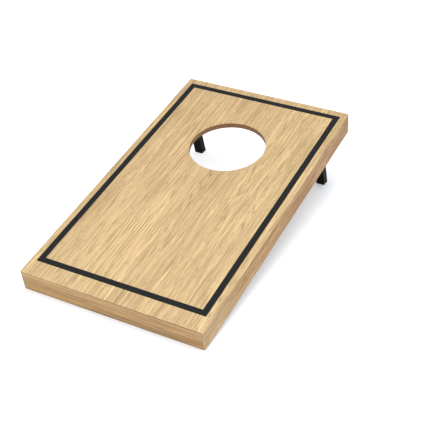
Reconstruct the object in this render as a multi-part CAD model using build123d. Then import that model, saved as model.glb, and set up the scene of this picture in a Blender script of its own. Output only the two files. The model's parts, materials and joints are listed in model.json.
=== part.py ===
"""Tabletop cornhole board: an oak-foiled box frame on two folding legs.

Every piece is drawn with the board lying flat: X across it, Y from its front edge to
its rear edge, Z up from the lower face of the rails. stand() then tilts the finished
piece into place, so that the front rail's lower edge and both feet meet the floor at
Z = 0. The origin is the bottom centre of the standing board.
"""
from build123d import *
import math
import os

# Board, in millimetres and degrees.
BOARD_LENGTH = 356.0
BOARD_WIDTH = 206.0
BOARD_THICKNESS = 24.0      # rails, panel and oak foil together
TILT = 10.5                 # slope of the playing surface
CORNER_RADIUS = 2.0         # the four upright corners
ARRIS_RADIUS = 1.2          # the long edges of the playing surface
END_RADIUS = 0.3            # its front and rear edges, where the foil is cut

# Layers, from the playing surface down.
FOIL = 0.5                  # oak-grain foil on the top and the long sides
PANEL_THICKNESS = 5.5
RAIL_HEIGHT = BOARD_THICKNESS - PANEL_THICKNESS - FOIL
RAIL_WIDTH = 15.0
BAND = 1.2                  # edge bands on the front and rear faces
BAND_RADIUS = 1.0           # the top edge of an edge band
SEAM = 0.4                  # groove between an edge band and the foil over it
SKIN_LIFT = 0.3             # foil and bands stop short of the rails' lower face

# Hole and border line.
HOLE_RADIUS = 42.6
HOLE_Y = 252.4
LINE_WIDTH = 6.8
LINE_FILM = 0.25            # sunk into the foil, level with its top
LINE_SIDE_MARGIN = 7.1
LINE_FRONT_MARGIN = 19.3
LINE_REAR_MARGIN = 8.6

# Folding legs and their pivots.
LEG_SIZE = 10.0             # square section
LEG_EDGE_RADIUS = 0.8
FOOT_CHAMFER = 0.4
LEG_SPLAY = 8.5             # an open leg leans this far back from square to the board
PIVOT_Y = 315.0
PIVOT_Z = 8.5
STOP_GAP = 0.3
SHOULDER_RADIUS = 2.5
PIVOT_CLEARANCE = 0.05      # radial, shoulder to leg bore
FACE_PLAY = 0.1             # sideways play on each face of a leg
WASHER_THICKNESS = 0.8
WASHER_RADIUS = 4.5
WASHER_BORE = 2.65
HEAD_RADIUS = 4.0
HEAD_HEIGHT = 2.6
PIVOT_CROSS = 4.4           # crossed recess in the head, tip to tip
PIVOT_CROSS_WIDTH = 0.9
PIVOT_CROSS_DEPTH = 1.5
THREAD_RADIUS = 1.95
THREAD_LENGTH = 8.0
INSERT_RADIUS = 3.2
INSERT_BORE = 2.0
INSERT_LENGTH = 9.0
INSERT_HOLE_DEPTH = 10.5
BARB_GROOVE = 0.8           # width of the grooves between the insert's barbs
BARB_DEPTH = 0.4

# Corner blocks, block screws and mitre nails.
BLOCK_INSET = 2.0           # the blocks stop short of the rails' lower face
CORNER_BLOCK_LEG = 24.0
CORNER_BLOCK_TIP = 4.0
STOP_BLOCK_WIDTH = 15.0
SCREW_RADIUS = 1.5
SCREW_LENGTH = 18.0
SCREW_HEAD_RADIUS = 2.9
SCREW_HEAD_HEIGHT = 1.8
SCREW_CROSS = 3.2
SCREW_CROSS_WIDTH = 0.7
SCREW_CROSS_DEPTH = 1.0
NAIL_ARM = 4.5
NAIL_THICKNESS = 0.5
NAIL_DEPTH = 7.0
NAIL_SPREAD = 50.0          # each arm's angle from the mitre
NAIL_PLACES = (9.0, 16.0)   # along each mitre, from the frame's outer corner

RAILS = ("front_rail", "right_rail", "rear_rail", "left_rail")

# The frame's core: everything inside the foil and the bands.
CORE_X = BOARD_WIDTH / 2 - FOIL
CORE_FRONT = BAND
CORE_REAR = BOARD_LENGTH - BAND
CORE_TOP = BOARD_THICKNESS - FOIL
INNER_X = CORE_X - RAIL_WIDTH
INNER_FRONT = CORE_FRONT + RAIL_WIDTH
INNER_REAR = CORE_REAR - RAIL_WIDTH

# Stations across the right-hand pivot, from the rail's inner face towards the middle.
RAIL_FACE_X = INNER_X
LEG_OUTER_X = RAIL_FACE_X - WASHER_THICKNESS - FACE_PLAY
LEG_INNER_X = LEG_OUTER_X - LEG_SIZE
HEAD_WASHER_X = LEG_INNER_X - FACE_PLAY
HEAD_X = HEAD_WASHER_X - WASHER_THICKNESS


def box_between(low, high):
    """A box from its lowest corner to its highest corner."""
    size = [b - a for a, b in zip(low, high)]
    middle = [(a + b) / 2 for a, b in zip(low, high)]
    return Pos(*middle) * Box(*size)


def prism(outline, low, high):
    """An upright solid over a closed outline of (x, y) points."""
    face = make_face(Polyline(*outline, close=True))
    return Pos(0, 0, low) * extrude(face, high - low)


def rod_x(radius, x_from, x_to):
    """A round bar along the pivot axis."""
    middle = Pos((x_from + x_to) / 2, PIVOT_Y, PIVOT_Z)
    return middle * Rot(0, 90, 0) * Cylinder(radius, abs(x_to - x_from))


def upright_edges(shape):
    return shape.edges().filter_by(Axis.Z)


def mirrored(shape):
    return mirror(shape, about=Plane.YZ)


def stand(shape):
    """Tilt a flat-drawn piece about the edge that the board stands on."""
    slope = math.radians(TILT)
    rise = (BOARD_THICKNESS - END_RADIUS) * math.sin(slope)
    front_reach = rise + (BAND - END_RADIUS) * math.cos(slope) + END_RADIUS
    rear_reach = (BOARD_LENGTH - BAND) * math.cos(slope) - SKIN_LIFT * math.sin(slope)
    centring = Pos(0, (front_reach - rear_reach) / 2, 0)
    return centring * Rot(TILT, 0, 0) * Pos(0, -CORE_FRONT, 0) * shape


def save(name, shape):
    shape.label = name
    export_step(shape, f"parts/{name}.step")


# Board body.

def arched(box, axis, radius):
    """The box with its two upper edges along one axis rounded."""
    upper = box.edges().filter_by(axis).sort_by(Axis.Z)[-2:]
    return fillet(upper, radius)


def outer_body():
    """The whole board as one rounded slab, from which the skin is cut."""
    slab = box_between(
        (-BOARD_WIDTH / 2, 0, SKIN_LIFT), (BOARD_WIDTH / 2, BOARD_LENGTH, BOARD_THICKNESS)
    )
    rounded = arched(slab, Axis.Y, ARRIS_RADIUS) & arched(slab, Axis.X, END_RADIUS)
    return rounded & fillet(upright_edges(slab), CORNER_RADIUS)


def core_body():
    """Rails and panel together, without the foil and the bands."""
    core = box_between((-CORE_X, CORE_FRONT, 0), (CORE_X, CORE_REAR, CORE_TOP))
    rounded = fillet(upright_edges(core), CORNER_RADIUS / 2)
    return rounded & arched(core, Axis.Y, ARRIS_RADIUS - FOIL)


def bag_hole():
    return Pos(0, HOLE_Y, BOARD_THICKNESS / 2) * Cylinder(HOLE_RADIUS, 2 * BOARD_THICKNESS)


def edge_band():
    """The front edge band: a strip under the foil's cut edge, rounded along its top."""
    half_length = BOARD_WIDTH / 2 - CORNER_RADIUS
    strip = box_between((-half_length, 0, SKIN_LIFT), (half_length, BAND, CORE_TOP - SEAM))
    top_front = strip.edges().filter_by(Axis.X).group_by(Axis.Y)[0].sort_by(Axis.Z)[-1]
    return fillet(top_front, BAND_RADIUS)


def oak_foil(outer, core):
    """One sheet over the top, the long sides and round the upright corners."""
    half_length = BOARD_WIDTH / 2 - CORNER_RADIUS
    band_space = box_between((-half_length, 0, 0), (half_length, BAND, CORE_TOP))
    sheet = outer - core - band_space - end_to_end(band_space)
    return sheet - bag_hole() - border_line()


def end_to_end(shape):
    """The same piece at the other end of the board."""
    return mirror(shape, about=Plane.XZ.offset(-BOARD_LENGTH / 2))


def border_line():
    """The black line round the playing surface, sunk level with the foil."""
    def sheet(inset):
        x = BOARD_WIDTH / 2 - LINE_SIDE_MARGIN - inset
        front = LINE_FRONT_MARGIN + inset
        rear = BOARD_LENGTH - LINE_REAR_MARGIN - inset
        low = BOARD_THICKNESS - LINE_FILM
        return box_between((-x, front, low), (x, rear, BOARD_THICKNESS))
    return sheet(0) - sheet(LINE_WIDTH)


def rails(core):
    """Four rails, cut from the core and mitred at its corners."""
    def corners(x, front, rear):
        return [(-x, front), (x, front), (x, rear), (-x, rear)]
    outside = corners(CORE_X, CORE_FRONT, CORE_REAR)
    inside = corners(INNER_X, INNER_FRONT, INNER_REAR)
    pieces = {}
    for i, name in enumerate(RAILS):
        j = (i + 1) % 4
        outline = [outside[i], outside[j], inside[j], inside[i]]
        pieces[name] = core & prism(outline, 0, RAIL_HEIGHT)
    return pieces


def top_panel(core):
    sheet = box_between((-CORE_X, CORE_FRONT, RAIL_HEIGHT), (CORE_X, CORE_REAR, CORE_TOP))
    return (core & sheet) - bag_hole()


# Corner blocks and fixings.

def front_corner_block():
    """A triangular glue block in the front right corner, its sharp tips cut off."""
    far_x = INNER_X - CORNER_BLOCK_LEG
    far_y = INNER_FRONT + CORNER_BLOCK_LEG
    outline = [
        (INNER_X, INNER_FRONT),
        (INNER_X, far_y),
        (INNER_X - CORNER_BLOCK_TIP, far_y),
        (far_x, INNER_FRONT + CORNER_BLOCK_TIP),
        (far_x, INNER_FRONT),
    ]
    return prism(outline, BLOCK_INSET, RAIL_HEIGHT)


def rear_stop_block():
    """A block in the rear right corner whose sloping front face stops the open leg."""
    block = box_between(
        (INNER_X - STOP_BLOCK_WIDTH, PIVOT_Y, BLOCK_INSET), (INNER_X, INNER_REAR, RAIL_HEIGHT)
    )
    reach = BOARD_THICKNESS * 2
    swept = Pos(0, LEG_SIZE / 2 + STOP_GAP - reach, 0) * Box(BOARD_WIDTH, 2 * reach, 2 * reach)
    return block - Pos(0, PIVOT_Y, PIVOT_Z) * Rot(LEG_SPLAY, 0, 0) * swept


def cross(span, width, depth):
    """The cutter for a crossed recess, facing along Z."""
    return Box(span, width, depth) + Box(width, span, depth)


def block_screw(x, y):
    """A countersunk screw driven up through a block into the panel."""
    shank_low = BLOCK_INSET + SCREW_HEAD_HEIGHT
    tip = BLOCK_INSET + SCREW_LENGTH
    point_low = tip - SCREW_RADIUS
    head = Cone(SCREW_HEAD_RADIUS, SCREW_RADIUS, SCREW_HEAD_HEIGHT)
    shank = Cylinder(SCREW_RADIUS, point_low - shank_low)
    point = Cone(SCREW_RADIUS, SCREW_RADIUS / 3, SCREW_RADIUS)
    screw = Pos(0, 0, (BLOCK_INSET + shank_low) / 2) * head
    screw += Pos(0, 0, (shank_low + point_low) / 2) * shank
    screw += Pos(0, 0, (point_low + tip) / 2) * point
    return Pos(x, y, 0) * screw


def block_screw_recess(x, y):
    return Pos(x, y, BLOCK_INSET) * cross(SCREW_CROSS, SCREW_CROSS_WIDTH, 2 * SCREW_CROSS_DEPTH)


def mitre_nail(along_x, along_y, distance):
    """A V-shaped nail across one mitre, driven up from the rails' lower faces."""
    arm = Pos(-NAIL_ARM / 2, 0, 0) * Box(NAIL_ARM, NAIL_THICKNESS, NAIL_DEPTH)
    chevron = Rot(0, 0, NAIL_SPREAD) * arm + Rot(0, 0, -NAIL_SPREAD) * arm
    corner_x = along_x * CORE_X
    corner_y = CORE_FRONT if along_y > 0 else CORE_REAR
    heading = math.degrees(math.atan2(along_y, -along_x))
    step = distance / math.sqrt(2)
    place = Pos(corner_x - along_x * step, corner_y + along_y * step, NAIL_DEPTH / 2)
    return place * Rot(0, 0, heading) * chevron


# Pivots and legs, drawn on the right and mirrored for the left.

def pivot_screw():
    """A pan-head shoulder screw: the leg turns on its shoulder."""
    head = rod_x(HEAD_RADIUS, HEAD_X - HEAD_HEIGHT, HEAD_X)
    head = fillet(head.edges().sort_by(Axis.X)[0], HEAD_HEIGHT / 3)
    shoulder = rod_x(SHOULDER_RADIUS, HEAD_X, RAIL_FACE_X)
    thread = rod_x(THREAD_RADIUS, RAIL_FACE_X, RAIL_FACE_X + THREAD_LENGTH)
    recess = Rot(0, 90, 0) * cross(PIVOT_CROSS, PIVOT_CROSS_WIDTH, 2 * PIVOT_CROSS_DEPTH)
    return head + shoulder + thread - Pos(HEAD_X - HEAD_HEIGHT, PIVOT_Y, PIVOT_Z) * recess


def washer(x_from, x_to):
    return rod_x(WASHER_RADIUS, x_from, x_to) - rod_x(WASHER_BORE, x_from, x_to)


def threaded_insert():
    """A barbed brass insert pressed into the side rail."""
    body = rod_x(INSERT_RADIUS, RAIL_FACE_X, RAIL_FACE_X + INSERT_LENGTH)
    for step in (0.25, 0.5, 0.75):
        low = RAIL_FACE_X + step * INSERT_LENGTH - BARB_GROOVE / 2
        high = low + BARB_GROOVE
        body -= rod_x(INSERT_RADIUS, low, high) - rod_x(INSERT_RADIUS - BARB_DEPTH, low, high)
    return body - rod_x(INSERT_BORE, RAIL_FACE_X, RAIL_FACE_X + INSERT_LENGTH)


def insert_hole():
    return rod_x(INSERT_RADIUS, RAIL_FACE_X, RAIL_FACE_X + INSERT_HOLE_DEPTH)


def open_leg():
    """A square bar, round at the pivot and cut level with the floor at the foot."""
    slope = math.radians(TILT)
    drop = (PIVOT_Y - CORE_FRONT) * math.sin(slope) + PIVOT_Z * math.cos(slope)
    reach = drop / math.cos(slope + math.radians(LEG_SPLAY)) + LEG_SIZE
    half = LEG_SIZE / 2
    bar = Pos(0, 0, -reach / 2) * Box(LEG_SIZE, LEG_SIZE, reach)
    bar += Rot(0, 90, 0) * Cylinder(half, LEG_SIZE)
    bar_ends = bar.edges().filter_by(lambda e: e.center().Z > half - reach)
    bar = fillet(bar_ends.filter_by(lambda e: abs(abs(e.center().X) - half) < 0.01), LEG_EDGE_RADIUS)
    bar -= Rot(0, 90, 0) * Cylinder(SHOULDER_RADIUS + PIVOT_CLEARANCE, LEG_SIZE)
    place = Pos((LEG_OUTER_X + LEG_INNER_X) / 2, PIVOT_Y, PIVOT_Z)
    leg = stand(place * Rot(LEG_SPLAY, 0, 0) * bar)
    below_floor = Pos(0, 0, -BOARD_LENGTH / 2) * Box(BOARD_WIDTH, 2 * BOARD_LENGTH, BOARD_LENGTH)
    leg -= below_floor
    return chamfer(leg.faces().sort_by(Axis.Z)[0].edges(), FOOT_CHAMFER)


# Assembly.

os.makedirs("parts", exist_ok=True)

outer = outer_body()
core = core_body()
board = rails(core)
board["top_panel"] = top_panel(core)
board["oak_foil"] = oak_foil(outer, core)
board["border_line"] = border_line()
board["front_edge_band"] = edge_band()
board["rear_edge_band"] = end_to_end(edge_band())
board["front_corner_block_right"] = front_corner_block()
board["front_corner_block_left"] = mirrored(front_corner_block())
board["rear_stop_block_right"] = rear_stop_block()
board["rear_stop_block_left"] = mirrored(rear_stop_block())

# One screw up through each block. Its hole is cut to fit it.
screw_x = INNER_X - STOP_BLOCK_WIDTH / 2
front_screw_y = INNER_FRONT + STOP_BLOCK_WIDTH / 2
rear_screw_y = INNER_REAR - STOP_BLOCK_WIDTH / 2
places = [(side * screw_x, y) for side in (-1, 1) for y in (front_screw_y, rear_screw_y)]
for name in list(board):
    if "block" in name or name == "top_panel":
        for place in places:
            board[name] -= block_screw(*place)
screws = [block_screw(*place) - block_screw_recess(*place) for place in places]
board["block_screws"] = Compound(children=screws)

# Two V-nails across each mitre.
nails = [mitre_nail(sx, sy, d) for sx in (-1, 1) for sy in (-1, 1) for d in NAIL_PLACES]
for name in RAILS:
    for nail in nails:
        board[name] -= nail
board["mitre_nails"] = Compound(children=nails)

# Pivot hardware on the right, and its mirror image on the left.
board["right_rail"] -= insert_hole()
board["left_rail"] -= mirrored(insert_hole())
pivot_pieces = {
    "pivot_screw": pivot_screw(),
    "head_washer": washer(HEAD_X, HEAD_WASHER_X),
    "nylon_washer": washer(LEG_OUTER_X + FACE_PLAY, RAIL_FACE_X),
    "threaded_insert": threaded_insert(),
}
for name, piece in pivot_pieces.items():
    board[f"{name}_right"] = piece
    board[f"{name}_left"] = mirrored(piece)

for name, piece in board.items():
    save(name, stand(piece))

leg = open_leg()
save("leg_right", leg)
save("leg_left", mirrored(leg))
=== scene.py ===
# %% [markdown]
# # A tabletop cornhole board
# The board is a shallow box frame of four mitred rails under a thin fibreboard panel.
# Oak-grain foil covers its top and long sides, a black line is let into the foil round
# the playing surface, and two black legs fold out from under the rear end.
# The CAD model already has every piece in its place. Blender's part is the finish of
# each piece, the light and the camera, so this lesson is mostly about materials.

# %% Load the fixed frame
import bpy
import json
import math
from mathutils import Matrix, Vector

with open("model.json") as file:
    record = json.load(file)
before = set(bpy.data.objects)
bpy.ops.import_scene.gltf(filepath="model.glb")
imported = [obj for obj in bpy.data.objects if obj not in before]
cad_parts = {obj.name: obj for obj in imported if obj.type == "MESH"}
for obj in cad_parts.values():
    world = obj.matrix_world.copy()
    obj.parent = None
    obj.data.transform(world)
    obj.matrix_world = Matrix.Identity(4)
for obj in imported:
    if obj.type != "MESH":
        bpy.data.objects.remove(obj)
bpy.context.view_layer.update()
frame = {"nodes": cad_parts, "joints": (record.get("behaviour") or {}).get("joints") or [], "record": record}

nodes = frame["nodes"]
record = frame["record"]

# %% [markdown]
# ## Where things are on the board
# The board slopes, so "along the grain" isn't a straight axis of the scene. The bag
# hole's mount gives the slope and a point to measure from: its axis stands square to
# the playing surface. Everything below is measured from the middle of the hole:
# across the board, along it towards the rear, and up out of it, in millimetres.
# Sizes could be typed in again, but reading them from the model keeps both in step.

# %% Measure the board
MM = 1000.0
mounts = {mount["name"]: mount for mount in record["mounts"]}
hole = mounts["bag_hole"]
hole_centre = Vector(hole["pos_m"])
hole_radius = hole["dims"]["r_mm"]
surface_normal = Vector(hole["axis"]).normalized()
slope = math.atan2(-surface_normal.y, surface_normal.z)
print(f"slope {math.degrees(slope):.1f} degrees, hole radius {hole_radius} mm")


def on_board(point):
    """A scene point, in metres, as (across, along, up) from the hole, in millimetres."""
    return Matrix.Rotation(-slope, 3, "X") @ (Vector(point) - hole_centre) * MM


play_surface = on_board(mounts["play_surface"]["pos_m"]).z
foil_points = [on_board(corner.co) for corner in nodes["oak_foil"].data.vertices]
front_end = min(point.y for point in foil_points)
rear_end = max(point.y for point in foil_points)
print(f"playing surface {play_surface:.1f} mm above the middle of the hole's wall")
print(f"the board runs from {front_end:.1f} to {rear_end:.1f} mm along")

# %% [markdown]
# ## Camera
# A product picture like this is taken from the front right, from well above, with a
# long lens, so that the board's edges converge only a little. The camera is placed by
# its position, and turned by the direction that it looks from. A Track To constraint
# could aim it, but a fixed rotation worked out from the direction is simpler and
# always the same.

# %% Camera
CAMERA_AZIMUTH = math.radians(27.79)
CAMERA_ELEVATION = math.radians(32.755)
CAMERA_POSITION = Vector((0.42791, -0.77042, 0.58615))
CAMERA_LENS = 80.93

towards_camera = Vector((
    math.sin(CAMERA_AZIMUTH) * math.cos(CAMERA_ELEVATION),
    -math.cos(CAMERA_AZIMUTH) * math.cos(CAMERA_ELEVATION),
    math.sin(CAMERA_ELEVATION),
))
camera_data = bpy.data.cameras.new("camera")
camera_data.lens = CAMERA_LENS
camera_data.clip_start = 0.01
camera = bpy.data.objects.new("camera", camera_data)
camera.location = CAMERA_POSITION
camera.rotation_mode = "QUATERNION"
camera.rotation_quaternion = (-towards_camera).to_track_quat("-Z", "Y")
bpy.context.collection.objects.link(camera)
bpy.context.scene.camera = camera
print("camera", round((CAMERA_POSITION - hole_centre).length, 3), "m from the hole")

# %% [markdown]
# ## Helpers for nodes
# A material is a tree of nodes. Each one could be added and wired in three lines, but a
# finish needs dozens of them. These helpers add one node each, set its inputs, and hand
# back its output socket, so that a chain of nodes reads like a short calculation.

# %% Node helpers
def add_node(tree, kind, inputs=None, **settings):
    """Add a shader node, set its options, then set or link its inputs by name or number."""
    node = tree.nodes.new(kind)
    for name, value in settings.items():
        setattr(node, name, value)
    for name, value in (inputs or {}).items():
        if isinstance(value, bpy.types.NodeSocket):
            tree.links.new(value, node.inputs[name])
        else:
            node.inputs[name].default_value = value
    return node


def calc(tree, operation, first, second=0.0, clamp=False):
    """One Math node."""
    inputs = {0: first, 1: second}
    node = add_node(tree, "ShaderNodeMath", inputs, operation=operation, use_clamp=clamp)
    return node.outputs[0]


def vector_calc(tree, operation, first, second=(0.0, 0.0, 0.0)):
    """One Vector Math node. It gives a number for a length or a dot product."""
    inputs = {0: first, 1: second}
    node = add_node(tree, "ShaderNodeVectorMath", inputs, operation=operation)
    return node.outputs["Value" if operation in ("LENGTH", "DOT_PRODUCT") else "Vector"]


def ramp(tree, value, low, high, to_low=0.0, to_high=1.0, smooth=True):
    """Stretch a value from low..high to to_low..to_high, held at both ends."""
    style = "SMOOTHSTEP" if smooth else "LINEAR"
    inputs = {"Value": value, "From Min": low, "From Max": high, "To Min": to_low, "To Max": to_high}
    return add_node(tree, "ShaderNodeMapRange", inputs, interpolation_type=style).outputs[0]


print("node helpers: add_node, calc, vector_calc, ramp")

# %% Colour and noise helpers
def colour(red, green, blue):
    """An opaque colour."""
    return (red, green, blue, 1.0)


def share(tree, value, amount):
    """A value weakened to a share of itself."""
    return calc(tree, "MULTIPLY", value, amount)


def blend_colours(tree, factor, first, second, style="MIX"):
    """One colour Mix node."""
    inputs = {0: factor, 6: first, 7: second}
    node = add_node(tree, "ShaderNodeMix", inputs, data_type="RGBA", blend_type=style)
    return node.outputs[2]


def noise(tree, place, scale, detail=2.0, roughness=0.5):
    """A noise texture from 0 to 1. The scale can differ on each axis."""
    scaled = vector_calc(tree, "MULTIPLY", place, scale)
    inputs = {"Vector": scaled, "Scale": 1.0, "Detail": detail, "Roughness": roughness}
    return add_node(tree, "ShaderNodeTexNoise", inputs).outputs[0]


def new_material(name):
    """An empty material with a Principled BSDF, its node tree, and that shader node."""
    material = bpy.data.materials.new(name)
    material.use_nodes = True
    tree = material.node_tree
    tree.nodes.clear()
    surface = add_node(tree, "ShaderNodeBsdfPrincipled")
    output = add_node(tree, "ShaderNodeOutputMaterial")
    tree.links.new(surface.outputs[0], output.inputs[0])
    return material, tree, surface


print("colour helpers: colour, share, blend_colours, noise, new_material")

# %% [markdown]
# ## Floor
# The board stands on a white light table, a plain square far larger than the view. A plain diffuse floor
# would do, but light from above alone leaves it grey under the board, and that part shows through the hole.
# So the table glows faintly by itself, and a painted pool of light, a soft patch of stronger glow under the
# rear end, washes out the board's shadow there. The patch is a distance from its middle, stretched
# differently on each axis and faded out.

# %% Floor
FLOOR_HALF = 6.0

floor_mesh = bpy.data.meshes.new("floor")
floor_corners = [(-FLOOR_HALF, -FLOOR_HALF, 0), (FLOOR_HALF, -FLOOR_HALF, 0),
                 (FLOOR_HALF, FLOOR_HALF, 0), (-FLOOR_HALF, FLOOR_HALF, 0)]
floor_mesh.from_pydata(floor_corners, [], [(0, 1, 2, 3)])
floor = bpy.data.objects.new("floor", floor_mesh)
bpy.context.collection.objects.link(floor)
print("floor", 2 * FLOOR_HALF, "m square")

# %% Light table
TABLE_COLOUR = colour(0.685, 0.705, 0.735)
# The glow patch is a painted pool of light that washes out the board's shadow under the rear end.
GLOW_CENTRE = (-0.03, 0.158, 0.0)
GLOW_REACH = (0.115, 0.066, 1.0)
GLOW_FAINT = colour(0.24, 0.25, 0.26)
GLOW_BRIGHT = colour(0.60, 0.61, 0.62)

light_table, tree, surface = new_material("light_table")
surface.inputs["Base Color"].default_value = TABLE_COLOUR
surface.inputs["Roughness"].default_value = 0.9
surface.inputs["Specular IOR Level"].default_value = 0.1
on_floor = add_node(tree, "ShaderNodeTexCoord").outputs["Object"]
from_glow = vector_calc(tree, "SUBTRACT", on_floor, GLOW_CENTRE)
from_glow = vector_calc(tree, "DIVIDE", from_glow, GLOW_REACH)
glow = ramp(tree, vector_calc(tree, "LENGTH", from_glow), 1.0, 0.45)
tree.links.new(blend_colours(tree, glow, GLOW_FAINT, GLOW_BRIGHT), surface.inputs["Emission Color"])
surface.inputs["Emission Strength"].default_value = 1.0
floor_mesh.materials.append(light_table)
print("light table glows brightest round", GLOW_CENTRE[:2], "in metres")

# %% [markdown]
# ## Light
# Very soft light makes the shadow only a pale smudge close to the edges. A white world
# fills in from all round, and one wide area light overhead makes the top brighter than
# the sides. A sun would be simpler but would draw a hard shadow.

# %% World and light
WORLD_COLOUR = colour(0.96, 0.98, 1.0)
LIGHT_PLACE = Vector((0.12, -0.14, 1.2))
LIGHT_WIDTH = 1.1
LIGHT_POWER = 14.5

world = bpy.data.worlds.new("studio")
world.use_nodes = True
bpy.context.scene.world = world
background = world.node_tree.nodes["Background"]
background.inputs["Color"].default_value = WORLD_COLOUR
background.inputs["Strength"].default_value = 1.0

overhead_light = bpy.data.lights.new("overhead", "AREA")
overhead_light.shape = "SQUARE"
overhead_light.size = LIGHT_WIDTH
overhead_light.energy = LIGHT_POWER
overhead = bpy.data.objects.new("overhead", overhead_light)
overhead.location = LIGHT_PLACE
overhead.rotation_mode = "QUATERNION"
overhead.rotation_quaternion = (-LIGHT_PLACE).to_track_quat("-Z", "Y")
bpy.context.collection.objects.link(overhead)
bpy.context.scene.view_settings.view_transform = "Standard"
print("overhead light", round(LIGHT_PLACE.length, 2), "m from the board")

# %% [markdown]
# ## Places to measure textures from
# A procedural texture needs coordinates. Object coordinates are in metres and level
# with the floor, so grain made from them would run through the sloping board at an
# angle. A small node group turns and scales them once, and every material that follows
# the board's slope starts from it. A second one does the same for the legs, which
# lean the other way.

# %% Group helpers
NUMBER = "NodeSocketFloat"
PLACE = "NodeSocketVector"
COLOUR = "NodeSocketColor"


def new_group(name, inputs=(), outputs=()):
    """An empty shader node group with its sockets, and its two end nodes."""
    group = bpy.data.node_groups.new(name, "ShaderNodeTree")
    for socket_name, kind, default in inputs:
        socket = group.interface.new_socket(name=socket_name, in_out="INPUT", socket_type=kind)
        if default is not None:
            socket.default_value = default
    for socket_name, kind in outputs:
        group.interface.new_socket(name=socket_name, in_out="OUTPUT", socket_type=kind)
    given = group.nodes.new("NodeGroupInput")
    result = group.nodes.new("NodeGroupOutput")
    return group, given, result


def add_group(tree, group, **inputs):
    """Place a node group in a tree, with its inputs set or linked by name."""
    named = {name.replace("_", " "): value for name, value in inputs.items()}
    return add_node(tree, "ShaderNodeGroup", named, node_tree=group)


print("group helpers: new_group, add_group")

# %% Place groups
def place_group(name, origin, turn):
    """Millimetres from origin, in axes turned about X."""
    group, given, result = new_group(name, outputs=[("Place", PLACE)])
    where = add_node(group, "ShaderNodeTexCoord").outputs["Object"]
    away = vector_calc(group, "SUBTRACT", where, origin)
    inputs = {"Vector": away, "Rotation": (-turn, 0, 0), "Scale": (MM, MM, MM)}
    turned = add_node(group, "ShaderNodeMapping", inputs, vector_type="POINT").outputs[0]
    group.links.new(turned, result.inputs["Place"])
    return group


leg_joint = next(joint for joint in frame["joints"] if joint["name"] == "leg_right_fold")
pivot = Vector((0, leg_joint["pos_m"][1], leg_joint["pos_m"][2]))
foot = Vector((0, *mounts["foot_right"]["pos_m"][1:]))
leg_lean = math.atan2(foot.y - pivot.y, pivot.z - foot.z)
board_place = place_group("Board place", hole_centre, slope)
leg_place = place_group("Leg place", pivot, leg_lean)
print(f"the legs lean {math.degrees(leg_lean):.1f} degrees from upright")

# %% [markdown]
# ## Wood figure
# Oak seen along its length is layers of streaks at several sizes: wide soft bands,
# growth lines a few millimetres apart that wander, and fine short pores. A Wave texture
# gives lines that are too regular. Here each layer is noise stretched along the grain,
# read from a place that slower noise pushes sideways, so that all layers wander
# together. It is a group because every wooden piece uses it with its own values.

# %% Wood figure: a place that wanders
FURTHEST_PUSH = 6.0

figure, given, result = new_group(
    "Wood figure",
    inputs=[("Place", PLACE, None), ("Line Spacing", NUMBER, 3.0), ("Line Length", NUMBER, 90.0),
            ("Wander", NUMBER, 3.0), ("Offset", NUMBER, 0.0)],
    outputs=[("Bands", NUMBER), ("Streaks", NUMBER), ("Lines", NUMBER), ("Pores", NUMBER),
             ("Fibres", NUMBER)],
)
offset = given.outputs["Offset"]
start = add_node(figure, "ShaderNodeCombineXYZ", {0: offset, 1: offset, 2: 0.0}).outputs[0]
moved = vector_calc(figure, "ADD", given.outputs["Place"], start)
slow = noise(figure, moved, (0.022, 0.009, 0.022))
reach = share(figure, given.outputs["Wander"], FURTHEST_PUSH)
push = calc(figure, "MULTIPLY", calc(figure, "SUBTRACT", slow, 0.5), reach)
across, along, up = add_node(figure, "ShaderNodeSeparateXYZ", {0: moved}).outputs
pushed = {0: calc(figure, "ADD", across, push), 1: along, 2: up}
wandered = add_node(figure, "ShaderNodeCombineXYZ", pushed).outputs[0]
print("wood figure inputs:", [socket.name for socket in given.outputs if socket.name])

# %% [markdown]
# ### Layers of the figure
# The group's line spacing and length set the scale of every layer, and each layer is
# finer or coarser than that by its own factors. The growth lines are contour lines,
# like those of a map: slow noise is the hill, and Ping-Pong draws a line wherever it
# passes another step, so the lines run on, bend and bunch together.

# %% Wood figure: its layers
HILL_STEPS = 26.0

across_scale = calc(figure, "DIVIDE", 1.0, given.outputs["Line Spacing"])
along_scale = calc(figure, "DIVIDE", 1.0, given.outputs["Line Length"])


def streaks(fineness, shortness, detail):
    """Noise along the grain, finer across and shorter along by the given factors."""
    finer = calc(figure, "MULTIPLY", across_scale, fineness)
    shorter = calc(figure, "MULTIPLY", along_scale, shortness)
    scale = add_node(figure, "ShaderNodeCombineXYZ", {0: finer, 1: shorter, 2: finer}).outputs[0]
    return noise(figure, wandered, scale, detail=detail)


hill = streaks(0.10, 0.10, 1.0)
steps = calc(figure, "PINGPONG", share(figure, hill, HILL_STEPS), 0.5)
faded = ramp(figure, streaks(0.4, 0.9, 1.0), 0.34, 0.60)
layers = {
    "Bands": ramp(figure, streaks(0.16, 0.45, 2.0), 0.34, 0.66),
    "Streaks": ramp(figure, streaks(1.2, 0.9, 3.0), 0.30, 0.70, smooth=False),
    "Lines": calc(figure, "MULTIPLY", ramp(figure, steps, 0.24, 0.5), faded),
    "Pores": ramp(figure, streaks(1.9, 4.5, 2.0), 0.55, 0.70),
    "Fibres": streaks(7.0, 7.0, 2.0),
}
for name, layer in layers.items():
    figure.links.new(layer, result.inputs[name])
print("wood figure layers:", list(layers))

# %% [markdown]
# ## Edge wear
# Handling rubs the sharp edges first. The Bevel node gives the normal that the surface
# would have if its edges were rounded: where that differs from the true normal, there
# is an edge. Edges could be painted by hand, but this finds them on any piece. Broken
# up with noise, the difference makes a mask for scuffs.

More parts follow.
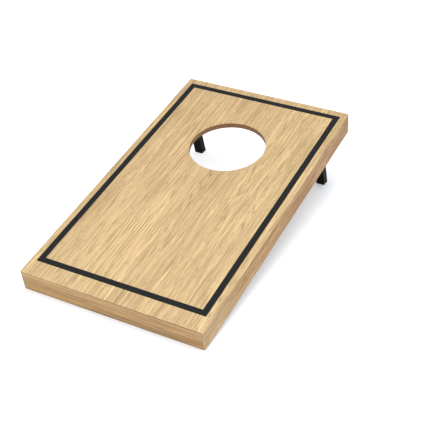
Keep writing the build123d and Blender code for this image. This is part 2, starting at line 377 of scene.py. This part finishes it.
# %% Edge wear group
wear, given, result = new_group(
    "Edge wear",
    inputs=[("Place", PLACE, None), ("Radius", NUMBER, 0.0006), ("Amount", NUMBER, 0.6),
            ("Patch Size", NUMBER, 6.0)],
    outputs=[("Worn", NUMBER), ("Edge", NUMBER)],
)
rounded = add_node(wear, "ShaderNodeBevel", {"Radius": given.outputs["Radius"]}, samples=4).outputs[0]
true_normal = add_node(wear, "ShaderNodeNewGeometry").outputs["Normal"]
agreement = vector_calc(wear, "DOT_PRODUCT", rounded, true_normal)
edge = ramp(wear, calc(wear, "SUBTRACT", 1.0, agreement), 0.01, 0.16)
patch_scale = calc(wear, "DIVIDE", 1.0, given.outputs["Patch Size"])
patch_inputs = {0: given.outputs["Place"], "Scale": patch_scale}
patch_place = add_node(wear, "ShaderNodeVectorMath", patch_inputs, operation="SCALE").outputs[0]
patches = noise(wear, patch_place, (1, 1, 1), detail=4.0, roughness=0.65)
threshold = calc(wear, "SUBTRACT", 1.0, given.outputs["Amount"])
broken = ramp(wear, patches, threshold, calc(wear, "ADD", threshold, 0.12))
wear.links.new(calc(wear, "MULTIPLY", edge, broken), result.inputs["Worn"])
wear.links.new(edge, result.inputs["Edge"])
print("edge wear built from", len(wear.nodes), "nodes")

# %% [markdown]
# ## Oak colours
# Oak is never one brown. Two tones alternate in its streaks, wide bands darken it softly,
# and growth lines and open pores are darker still. Each layer is mixed over the one
# before it, by its own output of the wood figure. One Color Ramp on one noise would be
# shorter, but then every layer would follow the same pattern. The foil and the edge
# bands differ only in their two tones, so the layers are a group that both use.

# %% Oak colours group
OAK_DARK = colour(0.200, 0.120, 0.048)
OAK_PORE = colour(0.180, 0.105, 0.045)
OAK_LAYERS = (("Bands", 0.22, OAK_DARK), ("Lines", 0.50, OAK_DARK), ("Pores", 0.50, OAK_PORE))

oak, given, result = new_group(
    "Oak colours",
    inputs=[("Pale", COLOUR, None), ("Middle", COLOUR, None), ("Streaks", NUMBER, 0.5),
            ("Bands", NUMBER, 0.0), ("Lines", NUMBER, 0.0), ("Pores", NUMBER, 0.0)],
    outputs=[("Colour", COLOUR)],
)
tones = given.outputs
layered = blend_colours(oak, tones["Streaks"], tones["Middle"], tones["Pale"])
for layer, strength, tone in OAK_LAYERS:
    layered = blend_colours(oak, share(oak, tones[layer], strength), layered, tone)
oak.links.new(layered, result.inputs["Colour"])


def oak_colours(tree, grain, pale, middle):
    """Oak in two tones, laid out by a wood figure node."""
    figured = {name: grain.outputs[name] for name in ("Streaks", "Bands", "Lines", "Pores")}
    return add_group(tree, oak, Pale=pale, Middle=middle, **figured).outputs["Colour"]


print("oak layers over the streaks:", [layer for layer, strength, tone in OAK_LAYERS])

# %% [markdown]
# ## Oak foil
# The top and the long sides are one sheet of printed foil. The print starts as plain oak, and painted shade
# darkens it by a few per cent towards the rear and the left, standing in for light that falls off across the
# board.
# A picture of oak could be wrapped round it, but it would repeat, and blur up close.

# %% Oak print
OAK_PALE = colour(0.610, 0.440, 0.226)
OAK_MIDDLE = colour(0.355, 0.234, 0.106)
PAINTED_SHADE_TONE = colour(0.85, 0.83, 0.80)
FOIL_GRAIN = {"Line_Spacing": 1.5, "Line_Length": 42.0, "Wander": 0.3}

foil, tree, surface = new_material("oak_foil_finish")
place = add_group(tree, board_place).outputs["Place"]
grain = add_group(tree, figure, Place=place, **FOIL_GRAIN)
across, along, up = add_node(tree, "ShaderNodeSeparateXYZ", {0: place}).outputs
# Painted shade: the print is darkened towards the rear and the left, where less light falls.
to_rear = ramp(tree, along, front_end + 60.0, rear_end, to_high=0.8, smooth=False)
to_left = ramp(tree, across, -60.0, -100.0, to_high=0.4)
painted_shade = calc(tree, "ADD", to_rear, to_left)
print_colour = oak_colours(tree, grain, OAK_PALE, OAK_MIDDLE)
print_colour = blend_colours(tree, painted_shade, print_colour, PAINTED_SHADE_TONE, style="MULTIPLY")
print("oak print: plain colours and drift, in", len(tree.nodes), "nodes")

# %% [markdown]
# ### Ray flecks
# Oak sawn nearly along its rays shows a few short bars side by side. There is one such
# row in the front part of the board. Ping-Pong across the grain draws the bars, and a
# stretched distance from the row's middle, faded out, keeps them to one small patch.
# Paler wood between the bars matters as much as the dark bars: darkening alone would
# look like a smudge.

# %% Ray flecks
FLECK_PITCH = 3.4
FLECK_CENTRE = (-24.0, -150.0, play_surface)
FLECK_REACH = (30.0, 10.0, 1.0)

fleck_steps = calc(tree, "MULTIPLY", across, 1 / FLECK_PITCH)
bars = ramp(tree, calc(tree, "PINGPONG", fleck_steps, 0.5), 0.15, 0.35)
from_flecks = vector_calc(tree, "SUBTRACT", place, FLECK_CENTRE)
from_flecks = vector_calc(tree, "DIVIDE", from_flecks, FLECK_REACH)
fleck_patch = ramp(tree, vector_calc(tree, "LENGTH", from_flecks), 1.0, 0.5)
dark_bars = calc(tree, "MULTIPLY", bars, fleck_patch)
pale_bars = calc(tree, "SUBTRACT", fleck_patch, dark_bars)
print_colour = blend_colours(tree, share(tree, pale_bars, 0.70), print_colour, OAK_PALE)
print_colour = blend_colours(tree, share(tree, dark_bars, 0.50), print_colour, OAK_DARK)
print("ray flecks:", round(2 * FLECK_REACH[0] / FLECK_PITCH), "bars at most")

# %% [markdown]
# ### The sides
# Where the foil turns down over the long edges, the code multiplies its colour darker and redder, less so
# towards the front. Next to the corners it stays paler: a painted highlight on the rounded corners. The
# sides could have their own material, but a mask from the height, multiplying the top's own colour, keeps
# the grain running over the edge without a break.

# %% Side tone
SIDE_TONE = colour(0.78, 0.52, 0.18)
FRONT_FADE = 190.0

on_side = ramp(tree, up, play_surface - 0.5, play_surface - 3.0)
# Painted highlight: the side tone is weakened next to the front and rear corners, so the rounded corners
# read paler.
for end, inward in ((front_end, 1), (rear_end, -1)):
    off_corner = ramp(tree, along, end + 1.0 * inward, end + 3.0 * inward, to_low=0.25)
    on_side = calc(tree, "MULTIPLY", on_side, off_corner)
off_front = ramp(tree, along, front_end, front_end + FRONT_FADE, to_low=0.35)
on_side = calc(tree, "MULTIPLY", on_side, off_front)
uneven = ramp(tree, grain.outputs["Streaks"], 0.1, 0.9, 1.5, 0.3, smooth=False)
on_side = calc(tree, "MULTIPLY", on_side, uneven, clamp=True)
print_colour = blend_colours(tree, on_side, print_colour, SIDE_TONE, style="MULTIPLY")
print("side tone", SIDE_TONE[:3], "full from", FRONT_FADE, "mm behind the front")

# %% [markdown]
# ### Cut edges
# The foil is cut off flush over the front and rear edge bands, and its cut edge shows
# as a thin dark line there, clearer towards the right. The line could be a piece of its
# own, but it is only as thick as the foil, so a mask from the distance to the end will do.

# %% Cut edges
CUT_EDGE = colour(0.120, 0.058, 0.026)
band_points = [on_board(corner.co) for corner in nodes["front_edge_band"].data.vertices]
corner_start = max(point.x for point in band_points)


def clearer_right(tree, across):
    """A share for the joint's dark line, which is clearer towards the board's right."""
    return ramp(tree, across, -90.0, 60.0, to_low=0.5)


cut_front = ramp(tree, along, front_end + 0.15, front_end + 0.05)
cut_rear = ramp(tree, along, rear_end - 0.15, rear_end - 0.05)
cut_edge = calc(tree, "ADD", cut_front, cut_rear)
below_print = ramp(tree, up, play_surface - 0.25, play_surface - 0.4)
between_corners = ramp(tree, calc(tree, "ABSOLUTE", across), corner_start + 0.5, corner_start)
for mask in (below_print, between_corners, clearer_right(tree, across)):
    cut_edge = calc(tree, "MULTIPLY", cut_edge, mask)
print_colour = blend_colours(tree, cut_edge, print_colour, CUT_EDGE)
print(f"the dark line ends {corner_start:.1f} mm from the middle")

# %% [markdown]
# ### Round the hole
# Hands and bags rub the foil round the hole, so its cut is a little darker there, in
# places only. An even ring would look printed, so noise breaks it up.

# %% Rubbed hole
flat_place = vector_calc(tree, "MULTIPLY", place, (1, 1, 0))
from_hole = vector_calc(tree, "LENGTH", flat_place)
rubbed = ramp(tree, from_hole, hole_radius + 0.9, hole_radius + 0.1)
smudge = noise(tree, place, (0.12, 0.12, 0.12), detail=3.0)
rubbed = calc(tree, "MULTIPLY", rubbed, ramp(tree, smudge, 0.3, 0.7, 0.2, 0.6))
print_colour = blend_colours(tree, rubbed, print_colour, OAK_DARK)
tree.links.new(print_colour, surface.inputs["Base Color"])
print(f"rubbed from {hole_radius} to {hole_radius + 0.9:.1f} mm round the hole")

# %% [markdown]
# ### Satin coat
# A printed foil has almost no relief, so the bump is only two hundredths of a
# millimetre. The coat's gloss does more: it is cloudy from handling and duller in the
# pores, which breaks up the highlights. One even roughness would look like plastic.

# %% Satin coat
WOOD_SHINE = 0.35


def relief(tree, height, depth):
    """A bump normal. The depth is in millimetres."""
    inputs = {"Height": height, "Distance": depth / MM, "Strength": 1.0}
    return add_node(tree, "ShaderNodeBump", inputs).outputs[0]


cloudy = ramp(tree, smudge, 0.3, 0.7, 0.44, 0.54)
gloss = calc(tree, "ADD", cloudy, share(tree, grain.outputs["Pores"], 0.12))
tree.links.new(gloss, surface.inputs["Roughness"])
surface.inputs["Specular IOR Level"].default_value = WOOD_SHINE
height = calc(tree, "SUBTRACT", share(tree, grain.outputs["Fibres"], 0.3), grain.outputs["Pores"])
tree.links.new(relief(tree, height, 0.02), surface.inputs["Normal"])
print("oak foil built from", len(tree.nodes), "nodes")

# %% [markdown]
# ## Edge bands
# A separate strip of oak is glued over the front and rear ends, under the foil. Its
# grain runs across the board. A second figure could be built for that, but it is
# simpler to take the place's axes in another order before the same one is used.

# %% Edge band wood
BAND_PALE = colour(0.600, 0.360, 0.140)
BAND_MIDDLE = colour(0.225, 0.120, 0.038)
BAND_GRAIN = {"Line_Spacing": 2.0, "Line_Length": 80.0, "Wander": 0.8, "Offset": 61.0}


def turned_place(tree, place, order):
    """The place with its axes taken in another order."""
    axes = add_node(tree, "ShaderNodeSeparateXYZ", {0: place}).outputs
    reordered = {number: axes[axis] for number, axis in enumerate(order)}
    return add_node(tree, "ShaderNodeCombineXYZ", reordered).outputs[0]


def fibre_gloss(tree, grain, smooth, rough):
    """A roughness that follows the wood's fibres."""
    return ramp(tree, grain.outputs["Fibres"], 0.3, 0.7, smooth, rough)


band, tree, surface = new_material("edge_band_finish")
place = add_group(tree, board_place).outputs["Place"]
crosswise = turned_place(tree, place, (2, 0, 1))
grain = add_group(tree, figure, Place=crosswise, **BAND_GRAIN)
band_colour = oak_colours(tree, grain, BAND_PALE, BAND_MIDDLE)
tree.links.new(fibre_gloss(tree, grain, 0.46, 0.58), surface.inputs["Roughness"])
tree.links.new(relief(tree, grain.outputs["Fibres"], 0.03), surface.inputs["Normal"])
surface.inputs["Specular IOR Level"].default_value = WOOD_SHINE
print("edge band grain:", BAND_GRAIN)

# %% [markdown]
# ### The joint under the foil
# The band's rounded top edge gets a painted highlight, paler where it catches the light, and above it, in
# the seam under the foil, is a dark line of glue and painted shade. Both come from the height alone. They
# are thin, but they are what make the joint look real: without them foil and band would melt into one block.

# %% Painted edge highlight, glue and seam shade
LIP_HIGHLIGHT = colour(0.700, 0.490, 0.240)
band_top = max(point.z for point in band_points)

across, along, up = add_node(tree, "ShaderNodeSeparateXYZ", {0: place}).outputs
paler_left = ramp(tree, across, 20.0, -80.0, to_high=0.14)
band_colour = blend_colours(tree, paler_left, band_colour, BAND_PALE)
# Painted highlight on the band's rounded top edge.
painted_lip_highlight = ramp(tree, up, band_top - 3.0, band_top - 1.8, to_high=0.45)
band_colour = blend_colours(tree, painted_lip_highlight, band_colour, LIP_HIGHLIGHT)
# A dark line of glue and painted shade in the seam under the foil.
glue_and_seam_shade = ramp(tree, up, band_top - 1.0, band_top - 0.4, to_high=0.65)
glue_and_seam_shade = calc(tree, "MULTIPLY", glue_and_seam_shade, clearer_right(tree, across))
band_colour = blend_colours(tree, glue_and_seam_shade, band_colour, CUT_EDGE)
tree.links.new(band_colour, surface.inputs["Base Color"])
print("edge band built from", len(tree.nodes), "nodes")

# %% [markdown]
# ## Border line
# The line is a thin matt film let into the foil: nearly black, a little uneven, with
# the grain below just showing as streaks in its gloss. It could be a mask in the foil's
# material, but as its own piece it keeps a crisp edge however close the view is.

# %% Border line material
FILM_DARK = colour(0.006, 0.007, 0.0065)
FILM_PALE = colour(0.015, 0.0165, 0.0155)
FILM_PORE = colour(0.005, 0.005, 0.005)

film, tree, surface = new_material("border_line_finish")
place = add_group(tree, board_place).outputs["Place"]
grain = add_group(tree, figure, Place=place, **FOIL_GRAIN)
speckle = ramp(tree, noise(tree, place, (1.4, 1.4, 1.4), detail=3.0), 0.35, 0.75)
film_colour = blend_colours(tree, speckle, FILM_DARK, FILM_PALE)
film_pores = share(tree, grain.outputs["Pores"], 0.4)
film_colour = blend_colours(tree, film_pores, film_colour, FILM_PORE)
tree.links.new(film_colour, surface.inputs["Base Color"])
tree.links.new(fibre_gloss(tree, grain, 0.60, 0.74), surface.inputs["Roughness"])
surface.inputs["Specular IOR Level"].default_value = 0.1
tree.links.new(relief(tree, grain.outputs["Fibres"], 0.02), surface.inputs["Normal"])
print("border line built from", len(tree.nodes), "nodes")

# %% [markdown]
# ## Fibreboard panel
# The panel's own surface shows in the wall of the hole and on the underside: brown
# wood fibre pressed flat, in paler and darker clumps with no direction. The wood figure
# would give it grain that it doesn't have, so it is two plain noises of different sizes.

# %% Fibreboard material
FIBRE_DARK = colour(0.169, 0.082, 0.032)
FIBRE_PALE = colour(0.284, 0.147, 0.066)

fibreboard, tree, surface = new_material("fibreboard_finish")
place = add_group(tree, board_place).outputs["Place"]
fine = noise(tree, place, (2.8, 2.8, 2.8), detail=4.0, roughness=0.7)
clumps = noise(tree, place, (0.35, 0.35, 0.35), detail=3.0)
mixed = calc(tree, "ADD", share(tree, fine, 0.7), share(tree, clumps, 0.3))
fibre_colour = blend_colours(tree, ramp(tree, mixed, 0.35, 0.65), FIBRE_DARK, FIBRE_PALE)
tree.links.new(fibre_colour, surface.inputs["Base Color"])
surface.inputs["Roughness"].default_value = 0.85
tree.links.new(relief(tree, fine, 0.12), surface.inputs["Normal"])
print("fibreboard built from", len(tree.nodes), "nodes")

# %% [markdown]
# ## Rails and blocks
# The rails and blocks are plain softwood, seen only from below. Softwood has wider
# growth lines than oak and hardly any pores. The side rails' grain runs along the
# board, the front and rear rails' across it, and the blocks' stands upright. Three
# materials could be copied and changed, but one function makes all three alike.

# %% Softwood function
PINE_PALE = colour(0.560, 0.400, 0.230)
PINE_DARK = colour(0.380, 0.225, 0.105)
PINE_GRAIN = {"Line_Spacing": 4.0, "Line_Length": 160.0, "Wander": 3.0}


def softwood(name, order, offset):
    """Planed softwood whose grain runs along the axis that is second in order."""
    material, tree, surface = new_material(name)
    place = add_group(tree, board_place).outputs["Place"]
    turned = turned_place(tree, place, order)
    grain = add_group(tree, figure, Place=turned, Offset=offset, **PINE_GRAIN)
    worn = add_group(tree, wear, Place=place, Radius=0.0008, Amount=0.55, Patch_Size=5.0)
    wood = blend_colours(tree, share(tree, grain.outputs["Streaks"], 0.5), PINE_PALE, PINE_DARK)
    wood = blend_colours(tree, share(tree, grain.outputs["Lines"], 0.6), wood, PINE_DARK)
    wood = blend_colours(tree, share(tree, worn.outputs["Worn"], 0.35), wood, PINE_DARK)
    tree.links.new(wood, surface.inputs["Base Color"])
    tree.links.new(fibre_gloss(tree, grain, 0.62, 0.78), surface.inputs["Roughness"])
    tree.links.new(relief(tree, grain.outputs["Fibres"], 0.06), surface.inputs["Normal"])
    return material


print("softwood grain:", PINE_GRAIN)

# %% Rail and block finishes
side_rail_finish = softwood("side_rail_finish", (0, 1, 2), 11.0)
cross_rail_finish = softwood("cross_rail_finish", (1, 0, 2), 53.0)
block_finish = softwood("block_finish", (0, 2, 1), 91.0)
print("softwood finishes: side rails, cross rails, blocks")

# %% [markdown]
# ## Black legs
# The legs are square wooden bars in black satin paint. The grain just shows through as
# fine ridges, and the paint is rubbed thin along the edges. Plain black would lose the
# legs' shape, so worn edges and an uneven gloss have to draw it.

# %% Leg material
PAINT_DARK = colour(0.002, 0.0018, 0.0015)
PAINT_PALE = colour(0.006, 0.005, 0.004)
BARE_LEG = colour(0.09, 0.075, 0.06)
LEG_GRAIN = {"Line_Spacing": 1.6, "Line_Length": 60.0, "Wander": 0.6, "Offset": 5.0}

leg_paint, tree, surface = new_material("leg_paint_finish")
place = add_group(tree, leg_place).outputs["Place"]
upright = turned_place(tree, place, (0, 2, 1))
grain = add_group(tree, figure, Place=upright, **LEG_GRAIN)
worn = add_group(tree, wear, Place=place, Radius=0.0009, Amount=0.56, Patch_Size=3.5)
paint = blend_colours(tree, grain.outputs["Streaks"], PAINT_DARK, PAINT_PALE)
paint = blend_colours(tree, share(tree, worn.outputs["Worn"], 0.50), paint, BARE_LEG)
tree.links.new(paint, surface.inputs["Base Color"])
edge_gloss = share(tree, worn.outputs["Edge"], 0.1)
paint_gloss = calc(tree, "ADD", fibre_gloss(tree, grain, 0.38, 0.50), edge_gloss)
tree.links.new(paint_gloss, surface.inputs["Roughness"])
surface.inputs["Specular IOR Level"].default_value = 0.03
fibre_ridges = share(tree, grain.outputs["Fibres"], 0.6)
ridges = calc(tree, "ADD", fibre_ridges, share(tree, grain.outputs["Streaks"], 0.4))
tree.links.new(relief(tree, ridges, 0.05), surface.inputs["Normal"])
print("leg paint built from", len(tree.nodes), "nodes")

# %% [markdown]
# ## Metal and nylon
# The small fittings differ only in colour, metal and gloss, so one function makes them
# all. A plated screw isn't one flat grey: cloudy patches change its colour, fine
# scratches its gloss, and its edges are polished brighter.

# %% Fitting function
def fitting(name, dull, bright, metallic, smooth, rough):
    """A small metal or plastic part with cloudy patches and brighter edges."""
    material, tree, surface = new_material(name)
    place = add_group(tree, board_place).outputs["Place"]
    clouds = noise(tree, place, (0.9, 0.9, 0.9), detail=4.0)
    scratches = noise(tree, place, (9.0, 0.7, 9.0))
    worn = add_group(tree, wear, Place=place, Radius=0.0003, Amount=0.7, Patch_Size=2.0)
    polished = share(tree, worn.outputs["Worn"], 0.5)
    mixed = calc(tree, "ADD", share(tree, clouds, 0.7), polished, clamp=True)
    tree.links.new(blend_colours(tree, mixed, dull, bright), surface.inputs["Base Color"])
    surface.inputs["Metallic"].default_value = metallic
    tree.links.new(ramp(tree, scratches, 0.3, 0.7, smooth, rough), surface.inputs["Roughness"])
    tree.links.new(relief(tree, scratches, 0.01), surface.inputs["Normal"])
    return material


print("fitting takes two colours, metal or not, and two roughnesses")

# %% Zinc, black, brass and nylon
ZINC = (colour(0.50, 0.50, 0.49), colour(0.72, 0.72, 0.70))
BLACKENED = (colour(0.05, 0.05, 0.05), colour(0.22, 0.21, 0.20))
BRASS = (colour(0.55, 0.38, 0.14), colour(0.80, 0.60, 0.28))
NYLON = (colour(0.62, 0.60, 0.53), colour(0.80, 0.79, 0.74))

zinc_finish = fitting("zinc_finish", *ZINC, 1.0, 0.30, 0.48)
black_screw_finish = fitting("black_screw_finish", *BLACKENED, 1.0, 0.32, 0.50)
brass_finish = fitting("brass_finish", *BRASS, 1.0, 0.28, 0.45)
nylon_finish = fitting("nylon_finish", *NYLON, 0.0, 0.45, 0.60)
print("fitting finishes: zinc, black screw, brass, nylon")

# %% [markdown]
# ## Put each finish on its pieces
# The CAD pieces keep their shapes, and only their material slots are filled. That could
# be done piece by piece, but a table from each piece's name to its finish shows at a
# glance that none is missed.

# %% Assign the finishes
finishes = {
    "oak_foil": foil,
    "front_edge_band": band,
    "rear_edge_band": band,
    "border_line": film,
    "top_panel": fibreboard,
    "front_rail": cross_rail_finish,
    "rear_rail": cross_rail_finish,
    "left_rail": side_rail_finish,
    "right_rail": side_rail_finish,
    "block_screws": zinc_finish,
    "mitre_nails": zinc_finish,
}
for side in ("left", "right"):
    finishes[f"front_corner_block_{side}"] = block_finish
    finishes[f"rear_stop_block_{side}"] = block_finish
    finishes[f"leg_{side}"] = leg_paint
    finishes[f"pivot_screw_{side}"] = black_screw_finish
    finishes[f"head_washer_{side}"] = zinc_finish
    finishes[f"nylon_washer_{side}"] = nylon_finish
    finishes[f"threaded_insert_{side}"] = brass_finish

for name, piece in nodes.items():
    piece.data.materials.clear()
    piece.data.materials.append(finishes[name])
print(len(finishes), "pieces finished of", len(nodes))
